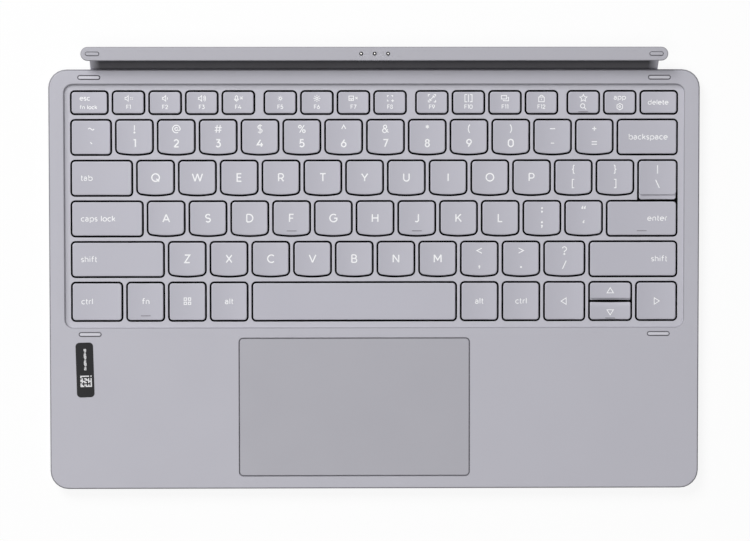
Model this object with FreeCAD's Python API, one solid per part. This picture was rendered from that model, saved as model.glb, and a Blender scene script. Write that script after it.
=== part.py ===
import FreeCAD
import Part
import math
import os
from collections import namedtuple

# Tablet keyboard cover: a slim keyboard slab with a touchpad, and a docking bar on a folding strip.
# Millimetres. X runs along the keys to the right, Y from the user to the docking bar, Z up from the table.

# Slab
side_border = 7.075
rear_border = 6.8
touchpad_border = 5.05
front_border = 6.0
slab_height = 5.6
slab_corner_radius = 8.2
deck_thickness = 1.0
floor_thickness = 0.8
wall_thickness = 1.5
parting_height = 1.8
top_edge_chamfer = 0.5
bottom_edge_chamfer = 1.0
rib_thickness = 1.0
rib_clearance = 1.5

# Key field
column_pitch = 18.75
row_pitch = 18.25
key_gap = 2.9
cap_depth = 15.0
function_cap_depth = 9.5
bottom_cap_depth = 16.5
grave_cap_width = 17.15
backspace_cap_width = 26.0
escape_cap_width = 15.75
arrow_cap_width = 17.4
function_group_gap = 2.4
stacked_slit = 0.9
letter_bow = 1.05
cap_height = 2.0
cap_recess = 0.2
cap_corner_radius = 1.3
cap_corner_facets = 2
bow_facets = 3
stagger = {"number": 0.0, "top": 0.5, "home": 0.75, "low": 1.25}

# Recessed well and the grid of key openings
well_margin = 3.4
well_corner_radius = 3.8
grid_thickness = 0.8
grid_flange = 1.5
key_ring = 0.7
opening_corner_facets = 1

# Layers under the keys
support_margin = 2.0
support_thickness = 0.4
membrane_thickness = 0.25
dome_sheet_thickness = 0.15
dome_sheet_split = 0.3
dome_foot_radius = 3.2
dome_top_radius = 2.0
dome_sides = 4

# Touchpad
touchpad_width = 103.2
touchpad_depth = 61.8
touchpad_recess = 0.1
touchpad_corner_radius = 1.6
touchpad_corner_facets = 2
touchpad_groove = 0.4
touchpad_board_thickness = 0.8
touchpad_flange = 1.2
click_button_radius = 1.8
click_button_height = 0.6
click_gap = 0.35
click_setback = 8.0
click_stud_radius = 3.0

# Controller board
board_length = 60.0
board_depth = 20.0
board_thickness = 1.0
board_clearance = 3.0
board_setback = 26.25
connector_length = 14.0
connector_depth = 5.0
connector_height = 1.4

# Deck bumpers and label
bumper_length = 10.5
bumper_width = 2.0
bumper_height = 0.6
bumper_proud = 0.3
bumper_clearance = 0.06
bumper_side_inset = 18.2
bumper_rear_inset = 3.6
bumper_setback = 3.0
pill_facets = 2
label_width = 7.9
label_length = 24.7
label_thickness = 0.1
label_corner_radius = 1.5
label_corner_facets = 2
label_side_inset = 15.8
label_setback = 19.0
label_turn = 1.5

# Folding strip
hinge_gap = 3.8
strip_axis_height = 3.0
strip_axis_spacing = 6.0
strip_thickness = 0.8
strip_clearance = 0.05
strip_inset = 3.75

# Docking bar
bar_length = 262.0
bar_depth = 6.2
bar_height = 5.0
bar_lift = 0.3
bar_edge_chamfer = 0.9
bar_wall = 0.9
bar_floor = 1.0
dock_plate_thickness = 1.2
dock_edge_chamfer = 0.4
locator_length = 6.0
locator_width = 1.6
locator_height = 0.4
locator_inset = 5.25
magnet_length = 45.0
magnet_width = 3.6
magnet_height = 1.8
magnet_gap = 10.0
magnet_start = 15.0

# Spring contacts
contact_pitch = 6.0
contact_hole_radius = 0.92
contact_radius = 0.52
contact_tip_radius = 0.3
contact_proud = 0.55
contact_shoulder_radius = 1.2
contact_shoulder_height = 0.5
contact_tail_length = 0.8
disc_facets = 10

Vector = FreeCAD.Vector
UP = Vector(0, 0, 1)
Key = namedtuple("Key", "name left right front rear bow")

# Places that follow from the sizes above
cap_width = column_pitch - key_gap
row_gap = row_pitch - cap_depth
number_key_count = 12
space_columns = 7
field_width = grave_cap_width + number_key_count * column_pitch + key_gap + backspace_cap_width
field_right = field_width / 2
field_left = -field_right
field_depth = function_cap_depth + row_gap + 4 * row_pitch + bottom_cap_depth
slab_width = field_width + 2 * (well_margin + side_border)
slab_depth = rear_border + field_depth + 2 * well_margin + touchpad_border + touchpad_depth + front_border
overall_depth = slab_depth + hinge_gap + bar_depth
slab_right = slab_width / 2
slab_front = -overall_depth / 2
slab_rear = slab_front + slab_depth
well_rear = slab_rear - rear_border
field_rear = well_rear - well_margin
field_front = field_rear - field_depth
well_front = field_front - well_margin
well_right = field_right + well_margin
deck_under = slab_height - deck_thickness
cap_top = slab_height - cap_recess
cap_bottom = cap_top - cap_height
support_top = floor_thickness + support_thickness
membrane_top = support_top + membrane_thickness
dome_sheet_top = membrane_top + dome_sheet_thickness


def arc_points(x, y, radius, start, end, facets):
    """Points along a round corner, from one angle to the other in degrees."""
    points = []
    for step in range(facets + 1):
        angle = math.radians(start + (end - start) * step / facets)
        points.append(Vector(x + radius * math.cos(angle), y + radius * math.sin(angle), 0))
    return points


def round_rectangle(left, right, front, rear, radius, facets):
    """Outline of a rectangle with faceted round corners, anticlockwise from its right front corner."""
    return (
        arc_points(right - radius, front + radius, radius, -90, 0, facets)
        + arc_points(right - radius, rear - radius, radius, 0, 90, facets)
        + arc_points(left + radius, rear - radius, radius, 90, 180, facets)
        + arc_points(left + radius, front + radius, radius, 180, 270, facets)
    )


def bowed_rectangle(left, right, front, rear, radius, facets, bow):
    """Outline of a letter key: a round rectangle whose front edge is a shallow arc."""
    half = (right - left) / 2
    middle = left + half
    bow_radius = (half * half + bow * bow) / (2 * bow)
    bow_center = front + bow_radius
    reach = half - radius
    drop = math.sqrt((bow_radius - radius) ** 2 - reach * reach)
    lean = math.degrees(math.asin(reach / (bow_radius - radius)))
    corner = bow_center - drop
    bow_line = arc_points(middle, bow_center, bow_radius, -90 - lean, -90 + lean, bow_facets)
    return (
        bow_line[1:-1]
        + arc_points(right - radius, corner, radius, -90 + lean, 0, facets)
        + arc_points(right - radius, rear - radius, radius, 0, 90, facets)
        + arc_points(left + radius, rear - radius, radius, 90, 180, facets)
        + arc_points(left + radius, corner, radius, 180, 270 - lean, facets)
    )


def prism(points, bottom, top):
    """Upright solid on a closed outline."""
    raised = [Vector(point.x, point.y, bottom) for point in points]
    face = Part.Face(Part.makePolygon(raised + raised[:1]))
    return face.extrude(UP * (top - bottom))


def block(left, right, front, rear, bottom, top):
    return Part.makeBox(right - left, rear - front, top - bottom, Vector(left, front, bottom))


def edges_level_with(shape, height):
    return [
        edge for edge in shape.Edges
        if abs(edge.BoundBox.ZMin - height) < 1e-6 and abs(edge.BoundBox.ZMax - height) < 1e-6
    ]


def round_block(left, right, front, rear, bottom, top, radius):
    """Block with its four upright edges rounded."""
    solid = block(left, right, front, rear, bottom, top)
    uprights = [edge for edge in solid.Edges if edge.BoundBox.ZLength > (top - bottom) / 2]
    return solid.makeFillet(radius, uprights)


def stadium_block(length, front, rear, bottom, top):
    """Bar with half-round ends, centred on X."""
    radius = (rear - front) / 2
    middle = front + radius
    straight = length / 2 - radius
    front_left = Vector(-straight, front, bottom)
    front_right = Vector(straight, front, bottom)
    rear_left = Vector(-straight, rear, bottom)
    rear_right = Vector(straight, rear, bottom)
    edges = [
        Part.makeLine(front_left, front_right),
        Part.Arc(front_right, Vector(length / 2, middle, bottom), rear_right).toShape(),
        Part.makeLine(rear_right, rear_left),
        Part.Arc(rear_left, Vector(-length / 2, middle, bottom), front_left).toShape(),
    ]
    return Part.Face(Part.Wire(edges)).extrude(UP * (top - bottom))


def disc(x, y, radius, bottom, top):
    """Small round stud with faceted sides."""
    return prism(arc_points(x, y, radius, 0, 360, disc_facets)[:-1], bottom, top)


def frustum(x, y, foot_radius, crest_radius, bottom, top, sides):
    """Upright taper on a regular polygon, with flat sides."""
    foot = [Vector(point.x, point.y, bottom) for point in arc_points(x, y, foot_radius, 0, 360, sides)]
    crest = [Vector(point.x, point.y, top) for point in arc_points(x, y, crest_radius, 0, 360, sides)]
    faces = [Part.Face(Part.makePolygon(ring)) for ring in (foot[:-1] + foot[:1], crest[:-1] + crest[:1])]
    for low, low_next, high, high_next in zip(foot, foot[1:-1] + foot[:1], crest, crest[1:-1] + crest[:1]):
        faces.append(Part.Face(Part.makePolygon([low, low_next, high_next, high, low])))
    return Part.Solid(Part.Shell(faces))


def pill(x, y, length, width, bottom, top):
    """Small upright pad along X with faceted half-round ends."""
    radius = width / 2
    reach = length / 2 - radius
    right_end = arc_points(x + reach, y, radius, -90, 90, 2 * pill_facets)
    left_end = arc_points(x - reach, y, radius, 90, 270, 2 * pill_facets)
    return prism(right_end + left_end, bottom, top)


# Key layout

def unit_keys(names, first_center, rear, depth, bow):
    """Keys of one column's width, side by side."""
    keys = []
    for index, name in enumerate(names):
        left = first_center + index * column_pitch - cap_width / 2
        keys.append(Key(name, left, left + cap_width, rear - depth, rear, bow))
    return keys


def first_center(row):
    return field_left + grave_cap_width + key_gap + cap_width / 2 + stagger[row] * column_pitch


def row_rear(index):
    """Rear edge of a row's caps, counted from the number row."""
    return field_rear - function_cap_depth - row_gap - index * row_pitch


def left_end_key(name, keys):
    """Straight key that fills the row from the field's left edge."""
    return Key(name, field_left, keys[0].left - key_gap, keys[0].front, keys[0].rear, 0)


def right_end_key(name, keys):
    return Key(name, keys[-1].right + key_gap, field_right, keys[-1].front, keys[-1].rear, 0)


def function_row():
    """Escape, the function keys in groups of four, and delete."""
    count = 14
    group_starts = (4, 8, 12)
    gaps = (count + 1) * key_gap + len(group_starts) * function_group_gap
    width = (field_width - 2 * escape_cap_width - gaps) / count
    front = field_rear - function_cap_depth
    keys = [Key("escape", field_left, field_left + escape_cap_width, front, field_rear, 0)]
    for index in range(count):
        extra = function_group_gap if index in group_starts else 0
        left = keys[-1].right + key_gap + extra
        keys.append(Key("function", left, left + width, front, field_rear, 0))
    keys.append(Key("delete", field_right - escape_cap_width, field_right, front, field_rear, 0))
    return keys


def number_row():
    names = ["number"] * number_key_count
    keys = unit_keys(names, first_center("number"), row_rear(0), cap_depth, letter_bow)
    return [left_end_key("grave", keys)] + keys + [right_end_key("backspace", keys)]


def letter_keys(row, index, names):
    nodes = ["key_" + name for name in names]
    return unit_keys(nodes, first_center(row), row_rear(index), cap_depth, letter_bow)


def top_row():
    keys = letter_keys("top", 1, list("qwertyuiop") + ["open_bracket", "close_bracket"])
    tall = right_end_key("key_backslash", keys)
    tall = tall._replace(front=row_rear(2) + stacked_slit)
    return [left_end_key("key_tab", keys)] + keys + [tall]


def home_row():
    keys = letter_keys("home", 2, list("asdfghjkl") + ["semicolon", "quote"])
    return [left_end_key("key_caps_lock", keys)] + keys + [right_end_key("key_enter", keys)]


def low_row():
    keys = letter_keys("low", 3, list("zxcvbnm") + ["comma", "period"])
    left = keys[-1].right + key_gap
    slash = Key("key_slash", left, left + arrow_cap_width, keys[0].front, keys[0].rear, letter_bow)
    ends = [left_end_key("key_left_shift", keys), right_end_key("key_right_shift", keys + [slash])]
    return ends[:1] + keys + [slash] + ends[1:]


def bottom_row():
    """Keys left of the space bar, the space bar, and keys right of it."""
    rear = row_rear(4)
    front = rear - bottom_cap_depth
    start = first_center("low")
    left_units = unit_keys(["fn", "apps", "left_alt"], start - column_pitch, rear, bottom_cap_depth, 0)
    right_start = start + space_columns * column_pitch
    right_units = unit_keys(["right_alt", "right_control"], right_start, rear, bottom_cap_depth, 0)
    space = Key("key_space", left_units[-1].right + key_gap, right_units[0].left - key_gap, front, rear, 0)
    arrow_left = right_units[-1].right + key_gap
    arrow_right = field_right - arrow_cap_width
    middle_left = arrow_left + arrow_cap_width + key_gap
    half_depth = (bottom_cap_depth - stacked_slit) / 2
    arrows = [
        Key("left", arrow_left, arrow_left + arrow_cap_width, front, rear, 0),
        Key("up", middle_left, arrow_right - key_gap, rear - half_depth, rear, 0),
        Key("down", middle_left, arrow_right - key_gap, front, front + half_depth, 0),
        Key("right", arrow_right, field_right, front, rear, 0),
    ]
    return [left_end_key("left_control", left_units)] + left_units, space, right_units + arrows


def outline_of(key, grow, facets):
    """Outline of a cap, or of the opening around it when it grows by the ring's width."""
    radius = cap_corner_radius + grow
    sides = (key.left - grow, key.right + grow, key.front - grow, key.rear + grow)
    if key.bow:
        return bowed_rectangle(*sides, radius, facets, key.bow)
    return round_rectangle(*sides, radius, facets)


def cap(key):
    return prism(outline_of(key, 0, cap_corner_facets), cap_bottom, cap_top)


def dome(key):
    """Spring dome that stands on the dome sheet under the middle of a cap."""
    x = (key.left + key.right) / 2
    y = (key.front + key.rear) / 2
    room = (key.rear - key.front) / 2 - key_ring
    foot = min(dome_foot_radius, room)
    crest = foot * dome_top_radius / dome_foot_radius
    return frustum(x, y, foot, crest, dome_sheet_top, cap_bottom, dome_sides)


def sheet_under(keys):
    """Piece of the dome sheet that lies under some keys, short of the next piece by the split."""
    grow = (key_gap - dome_sheet_split) / 2
    left = min(key.left for key in keys) - grow
    right = max(key.right for key in keys) + grow
    front = min(key.front for key in keys) - grow
    rear = max(key.rear for key in keys) + grow
    return block(left, right, front, rear, membrane_top, dome_sheet_top)


def fixed_keys(keys):
    """Caps, domes and their piece of the sheet as one solid."""
    pieces = [dome(key) for key in keys] + [cap(key) for key in keys]
    return sheet_under(keys).multiFuse(pieces).removeSplitter()


def dome_sheet(letter_rows, space):
    domes = [dome(key) for key in letter_rows + [space]]
    sheet = sheet_under(letter_rows).fuse(sheet_under([space]).fuse(sheet_bridge(space)))
    return sheet.multiFuse(domes).removeSplitter()


def sheet_bridge(space):
    """Sheet between the space bar's piece and the rows behind it."""
    grow = (key_gap - dome_sheet_split) / 2
    rear = row_rear(3) - cap_depth
    return block(space.left - grow, space.right + grow, space.rear, rear, membrane_top, dome_sheet_top)


# Slab pieces

def slab_block(inset, bottom, top):
    right = slab_right - inset
    radius = slab_corner_radius - inset
    return round_block(-right, right, slab_front + inset, slab_rear - inset, bottom, top, radius)


def touchpad_sides(space, grow):
    """Left, right, front and rear of the touchpad, grown on every side."""
    middle = (space.left + space.right) / 2
    front = slab_front + front_border
    half = touchpad_width / 2
    return middle - half - grow, middle + half + grow, front - grow, front + touchpad_depth + grow


def touchpad_outline(space, grow):
    radius = touchpad_corner_radius + grow
    return round_rectangle(*touchpad_sides(space, grow), radius, touchpad_corner_facets)


def bumper_places():
    x = slab_right - bumper_side_inset
    rows = (slab_rear - bumper_rear_inset, well_front - bumper_setback)
    return [(side * x, y) for y in rows for side in (-1, 1)]


def bumper(x, y, grow):
    bottom = slab_height + bumper_proud - bumper_height
    return pill(x, y, bumper_length + 2 * grow, bumper_width + 2 * grow, bottom, slab_height + bumper_proud)


def rib_places(space):
    """Left edges of the two ribs that stand beside the touchpad."""
    left, right = touchpad_sides(space, touchpad_groove + touchpad_flange + rib_clearance)[:2]
    return left - rib_thickness, right


def top_case(space):
    case = slab_block(0, parting_height, slab_height)
    case = case.makeChamfer(top_edge_chamfer, edges_level_with(case, slab_height))
    case = case.cut(slab_block(wall_thickness, parting_height, deck_under))
    well_sides = (-well_right, well_right, well_front, well_rear)
    well = round_block(*well_sides, deck_under, slab_height, well_corner_radius)
    window = prism(touchpad_outline(space, touchpad_groove), deck_under, slab_height)
    pockets = [bumper(x, y, bumper_clearance) for x, y in bumper_places()]
    case = case.cut([well, window] + pockets)
    rib_front = slab_front + wall_thickness
    rib_rear = well_front - grid_flange - rib_clearance
    ribs = [
        block(x, x + rib_thickness, rib_front, rib_rear, floor_thickness, deck_under)
        for x in rib_places(space)
    ]
    return case.multiFuse(ribs).removeSplitter()


def bottom_cover(space):
    cover = slab_block(0, 0, parting_height)
    cover = cover.makeChamfer(bottom_edge_chamfer, edges_level_with(cover, 0))
    cover = cover.cut(slab_block(wall_thickness, floor_thickness, parting_height))
    x, y = click_place(space)
    top = deck_under - touchpad_board_thickness - click_button_height - click_gap
    return cover.fuse(disc(x, y, click_stud_radius, floor_thickness, top)).removeSplitter()


def key_grid(keys):
    right = well_right + grid_flange
    radius = well_corner_radius + grid_flange
    bottom = deck_under - grid_thickness
    sides = (-right, right, well_front - grid_flange, well_rear + grid_flange)
    grid = round_block(*sides, bottom, deck_under, radius)
    openings = []
    for key in keys:
        if key.name in ("up", "key_backslash"):
            key = key._replace(front=key.front - stacked_slit - cap_corner_radius - key_ring)
        openings.append(prism(outline_of(key, key_ring, opening_corner_facets), bottom, deck_under))
    return grid.cut(openings)


def key_layer(margin, bottom, top):
    """Flat layer under the whole key field."""
    right = field_right + margin
    return block(-right, right, field_front - margin, field_rear + margin, bottom, top)


def deck_bumpers():
    return Part.makeCompound([bumper(x, y, 0) for x, y in bumper_places()])


def label():
    x = -slab_right + label_side_inset
    y = well_front - label_setback
    half_width = label_width / 2
    half_length = label_length / 2
    outline = round_rectangle(
        x - half_width, x + half_width, y - half_length, y + half_length,
        label_corner_radius, label_corner_facets,
    )
    sticker = prism(outline, slab_height, slab_height + label_thickness)
    sticker.rotate(Vector(x, y, 0), UP, label_turn)
    return sticker


# Touchpad pieces

def click_place(space):
    left, right, front, rear = touchpad_sides(space, 0)
    return (left + right) / 2, front + click_setback


def touchpad_plate(space):
    return prism(touchpad_outline(space, 0), deck_under, slab_height - touchpad_recess)


def touchpad_board(space):
    """Sensor board whose edge bears on the deck's underside, with the click button below it."""
    bottom = deck_under - touchpad_board_thickness
    board = block(*touchpad_sides(space, touchpad_groove + touchpad_flange), bottom, deck_under)
    x, y = click_place(space)
    button = disc(x, y, click_button_radius, bottom - click_button_height, bottom)
    return board.fuse(button).removeSplitter()


def main_board(space):
    left = rib_places(space)[1] + rib_thickness + board_clearance
    front = slab_front + board_setback
    top = floor_thickness + board_thickness
    board = block(left, left + board_length, front, front + board_depth, floor_thickness, top)
    plug_left = left + (board_length - connector_length) / 2
    plug_front = front + board_depth - connector_depth
    connector = block(
        plug_left, plug_left + connector_length, plug_front, plug_front + connector_depth,
        top, top + connector_height,
    )
    return board.fuse(connector).removeSplitter()


# Folding strip and docking bar

strip_radius = strip_thickness / 2
slab_axis_y = slab_rear + strip_radius + strip_clearance
bar_front = slab_rear + hinge_gap
bar_rear = bar_front + bar_depth
bar_middle = (bar_front + bar_rear) / 2
strip_run = bar_front - slab_axis_y
strip_rise = math.sqrt(strip_axis_spacing ** 2 - strip_run ** 2)
bar_axis_height = strip_axis_height + strip_rise
bar_bottom = bar_axis_height + bar_lift
dock_face = bar_bottom + bar_height
dock_under = dock_face - dock_plate_thickness


def hinge_strip():
    """Flat strip with round long edges, one on each fold axis."""
    half_width = bar_length / 2 - strip_inset
    low = Vector(-half_width, slab_axis_y, strip_axis_height)
    high = Vector(-half_width, bar_front, bar_axis_height)
    along = (high - low).normalize() * strip_radius
    across = Vector(0, -along.z, along.y)
    edges = [
        Part.makeLine(low + across, high + across),
        Part.Arc(high + across, high + along, high - across).toShape(),
        Part.makeLine(high - across, low - across),
        Part.Arc(low - across, low - along, low + across).toShape(),
    ]
    return Part.Face(Part.Wire(edges)).extrude(Vector(2 * half_width, 0, 0))


def bar_housing():
    housing = stadium_block(bar_length, bar_front, bar_rear, bar_bottom, dock_under)
    housing = housing.makeChamfer(bar_edge_chamfer, edges_level_with(housing, bar_bottom))
    reach = (bar_length - bar_depth) / 2
    sides = (-reach, reach, bar_front + bar_wall, bar_rear - bar_wall)
    return housing.cut(block(*sides, bar_bottom + bar_floor, dock_under))


def contact_places():
    return {"left": -contact_pitch, "middle": 0.0, "right": contact_pitch}


def dock_plate():
    """Lid of the bar: the docking face with its two locating pips and the contacts' holes."""
    plate = stadium_block(bar_length, bar_front, bar_rear, dock_under, dock_face)
    plate = plate.makeChamfer(dock_edge_chamfer, edges_level_with(plate, dock_face))
    holes = [
        disc(x, bar_middle, contact_hole_radius, dock_under, dock_face) for x in contact_places().values()
    ]
    reach = bar_length / 2 - locator_inset
    pips = [
        pill(x, bar_middle, locator_length, locator_width, dock_face, dock_face + locator_height)
        for x in (-reach, reach)
    ]
    return plate.cut(holes).multiFuse(pips).removeSplitter()


def bar_magnets():
    magnets = []
    bottom = bar_bottom + bar_floor
    for index in range(2):
        near = magnet_start + index * (magnet_length + magnet_gap)
        for left in (near, -near - magnet_length):
            magnets.append(block(
                left, left + magnet_length, bar_middle - magnet_width / 2, bar_middle + magnet_width / 2,
                bottom, bottom + magnet_height,
            ))
    return Part.makeCompound(magnets)


def contact_pin(x):
    """Spring contact: a blunt tip, a shoulder under the docking plate and a short tail."""
    shoulder_bottom = dock_under - contact_shoulder_height
    tip = dock_face + contact_proud
    bend = tip - contact_radius + contact_tip_radius
    stem = disc(x, bar_middle, contact_radius, shoulder_bottom - contact_tail_length, bend)
    shoulder = disc(x, bar_middle, contact_shoulder_radius, shoulder_bottom, dock_under)
    nose = frustum(x, bar_middle, contact_radius, contact_tip_radius, bend, tip, disc_facets)
    return stem.multiFuse([nose, shoulder]).removeSplitter()


# Assembly

left_modifiers, space_key, right_modifiers = bottom_row()
letter_rows = top_row() + home_row() + low_row()
upper_rows = function_row() + number_row()
moving_keys = letter_rows + [space_key]
all_keys = upper_rows + moving_keys + left_modifiers + right_modifiers

parts = {
    "top_case": top_case(space_key),
    "bottom_cover": bottom_cover(space_key),
    "key_grid": key_grid(all_keys),
    "support_plate": key_layer(support_margin, floor_thickness, support_top),
    "membrane": key_layer(support_margin, support_top, membrane_top),
    "dome_sheet": dome_sheet(letter_rows, space_key),
    "upper_row_keys": fixed_keys(upper_rows),
    "modifier_keys": Part.makeCompound([fixed_keys(left_modifiers), fixed_keys(right_modifiers)]),
    "main_board": main_board(space_key),
    "deck_bumpers": deck_bumpers(),
    "label": label(),
    "touchpad_plate": touchpad_plate(space_key),
    "touchpad_board": touchpad_board(space_key),
    "hinge_strip": hinge_strip(),
    "bar_housing": bar_housing(),
    "dock_plate": dock_plate(),
    "bar_magnets": bar_magnets(),
}
for side, place in contact_places().items():
    parts["contact_pin_" + side] = contact_pin(place)
for moving_key in moving_keys:
    parts[moving_key.name] = cap(moving_key)

os.makedirs("parts", exist_ok=True)
for name, shape in parts.items():
    shape.exportStep("parts/" + name + ".step")
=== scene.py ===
import math
from collections import namedtuple

import bmesh
import bpy
from mathutils import Matrix, Vector


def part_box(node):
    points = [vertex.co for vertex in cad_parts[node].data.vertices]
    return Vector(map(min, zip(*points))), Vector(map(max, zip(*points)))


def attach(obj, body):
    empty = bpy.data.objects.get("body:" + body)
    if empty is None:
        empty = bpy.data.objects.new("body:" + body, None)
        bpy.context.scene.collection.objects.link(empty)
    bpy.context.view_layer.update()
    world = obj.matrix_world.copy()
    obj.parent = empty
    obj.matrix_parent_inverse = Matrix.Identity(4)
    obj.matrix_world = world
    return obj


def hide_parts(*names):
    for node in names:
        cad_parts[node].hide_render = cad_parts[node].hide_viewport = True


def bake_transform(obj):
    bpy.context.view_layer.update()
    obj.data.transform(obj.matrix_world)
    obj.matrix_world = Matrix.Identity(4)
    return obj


# Looks of a tablet keyboard cover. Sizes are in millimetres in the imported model's frame:
# X runs along the keys to the right, Y from the user to the docking bar, Z up from the table.
# Each piece is scaled to metres when its mesh is made.

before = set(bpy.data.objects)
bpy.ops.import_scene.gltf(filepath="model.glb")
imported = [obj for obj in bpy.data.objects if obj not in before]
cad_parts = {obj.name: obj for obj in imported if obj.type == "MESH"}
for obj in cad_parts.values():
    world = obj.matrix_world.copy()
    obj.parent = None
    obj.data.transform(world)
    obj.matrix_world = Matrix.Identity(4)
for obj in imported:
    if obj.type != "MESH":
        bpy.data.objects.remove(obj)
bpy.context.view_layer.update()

MM = 0.001
UP = Vector((0, 0, 1))

# Round edges and walls
corner_steps = 6
edge_steps = 4
merge_distance = 0.0005
sharp_angle = math.radians(50)
normal_weight = 80
slab_radius = 8.2
slab_edge = 0.75
base_edge = 1.0
base_floor = 0.8
slab_wall = 1.5
parting_chamfer = 0.15
well_radius = 3.8
well_lip = 0.7
# Painted shade on the web beside the well's left and rear walls
well_shade = 0.74
well_shade_reach = 2.4
grid_flange = 1.5
window_lip = 0.15
touchpad_groove = 0.4
touchpad_radius = 1.6
touchpad_edge = 0.22
bumper_length = 10.5
bumper_width = 2.0
bumper_edge = 0.25
bumper_inset = 0.2
pocket_clearance = 0.25
pocket_depth = 0.35
pocket_lip = 0.1

# Key caps
function_depth = 9.5
escape_width = 15.75
function_count = 14
group_gap = 2.4
group_starts = (4, 8, 12)
stacked_slit = 0.9
letter_bow = 0.9
cap_radius = 1.3
bowed_radius = 1.85
slit_radius = 0.45
cap_edge = 0.4
cap_dish = 0.6
cap_rows = 6
span_steps = 8
key_ring = 0.84
opening_lip = 0.12
shade_drop = 0.1
lip_drop = 0.7
backslash_lip = 2.2
up_lip = 0.75
ledge_overlap = 1.0
slope_reach = 1.3
slope_drop = 0.5
sheet_grow = 1.3
sheet_radius = 1.0
sheet_thickness = 0.15
dome_foot = 3.2
dome_crest = 2.0
dome_shoulder = 0.25
dome_shoulder_lean = 0.2
dome_steps = 12

# Places in a cap's list of materials, and in those of pieces with holes
# The dark place holds the dark film, which on the caps' lower walls is painted shade
print_place, mark_place, dark_place = 1, 2, 3
# Walls at the wall place carry painted shade
wall_place, pocket_place = 1, 2

# Print on the caps: heights, line widths, and places as a share of the cap's depth from its rear edge
letter_height = 3.95
letter_width = 0.57
letter_line = 0.483
symbol_height = 3.8
symbol_width = 0.43
digit_width = 0.6
upper_line = 0.248
lower_line = 0.677
word_height = 2.75
word_width = 0.37
word_line = 0.487
word_margin = 3.8
escape_margin = 3.5
small_word_share = 0.88
lock_word_share = 0.7
escape_line = 0.28
lock_line = 0.708
app_line = 0.25
arrow_lines = {"left": 0.5, "right": 0.5, "up": 0.525, "down": 0.56}
label_height = 2.0
label_width = 0.32
label_line = 0.7
icon_line = 0.3
icon_width = 0.36
print_rise = 0.03
letter_gap = 0.235
stem_gap = 0.06
word_space = 0.5
bow_steps = 12
dot_reach = 0.06
point_reach = 0.07
point_steps = 8
mitre_limit = 0.45
sharp_turn = -0.6
mark_length = 4.4
mark_width = 0.36
mark_rise = 0.1
mark_inset = 1.95
shallow_mark_inset = 0.6
shallow_depth = 10.0

# Sticker
sticker_turn = math.radians(1.5)
sticker_radius = 1.75
sticker_width = 7.9
sticker_length = 24.7
sticker_edge = 0.05
sticker_edge_steps = 2
sticker_print_rise = 0.012
sticker_line_x = 0.2
sticker_line_start = 9.3
sticker_line_pitch = 0.8
sticker_line_count = 12
sticker_line_height = 0.85
sticker_mark_share = 0.55
sticker_mark_step = 7
sticker_stroke = 0.27
code_cells = 9
code_cell = 0.57
code_gap = 0.02
code_center = (0.35, -5.1)

# Strip, bar and contacts
strip_thickness = 0.8
strip_axis_height = 3.0
strip_clearance = 0.45
strip_steps = 10
strip_end_steps = 6
root_drop = 0.1
root_lead = 0.15
tip_reach = 0.5
# Painted light towards both ends of the strip
end_light_reach = 4.4
# Painted shadow of the bar over the strip's upper part
strip_bar_shadow = 0.28
bar_edge = 0.9
bar_wall = 0.9
bar_floor = 1.0
bar_lift = 0.3
dock_edge = 0.45
locator_length = 6.0
locator_width = 1.6
locator_height = 0.4
locator_inset = 5.25
locator_groove = 0.15
groove_depth = 0.3
groove_lip = 0.06
locator_edge = 0.3
contact_hole = 0.84
contact_lip = 0.12
contact_radius = 0.52
contact_shoulder = 1.2
contact_shoulder_height = 0.5
contact_tip_steps = 6
nose_share = 0.9
# Direction of the painted glint on the pins' noses
pin_painted_glint = (0, 0.26, 0.966)
seat_clearance = 0.02
round_steps = 24

# Surface patterns: sizes in millimetres, rates for each millimetre, and shares of a tone
noise_low = 0.3
noise_high = 0.7
cloud_size = 55.0
cloud_change = 0.012
grain_change = 0.03
grain_detail = 3.0
rough_size = 20.0
edge_start = 0.05
edge_end = 0.99
thread_rate = 0.5
thread_wander = 0.6
track_rate = 0.12
track_line = 0.03

# Sockets of a colour mix, by their places in its lists
mix_inputs = (0, 6, 7)
mix_output = 2

# Camera in the photograph's frame, and the studio in metres and watts
image_width = 750
camera_place = (-22.65, 84.48, 1500.0)
camera_turn = (-3.2685, -0.8775, -0.0342)
focal_pixels = 3331.6
sensor_width = 36.0
clip_start = 0.05
clip_end = 20.0
ambient = 0.2
floor_white = 0.98
floor_glow = 0.88
floor_size = 4.0
floor_cells = 8
floor_drop = 0.2
lamps = {
    "key_light": {"place": (-0.95, 1.4, 1.5), "size": (1.0, 1.1), "power": 38.2},
    "overhead_light": {"place": (-0.35, -0.35, 1.6), "size": (1.4, 1.0), "power": 7.6},
}

key_fields = "name left right front rear bow lip front_radius rear_radius"
Key = namedtuple("Key", key_fields, defaults=(0.0, 0.0, cap_radius, cap_radius))


def corners(node):
    """Lowest and highest corner of a node at rest, in millimetres."""
    low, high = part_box(node)
    return low / MM, high / MM


# Places read from the frame

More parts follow.
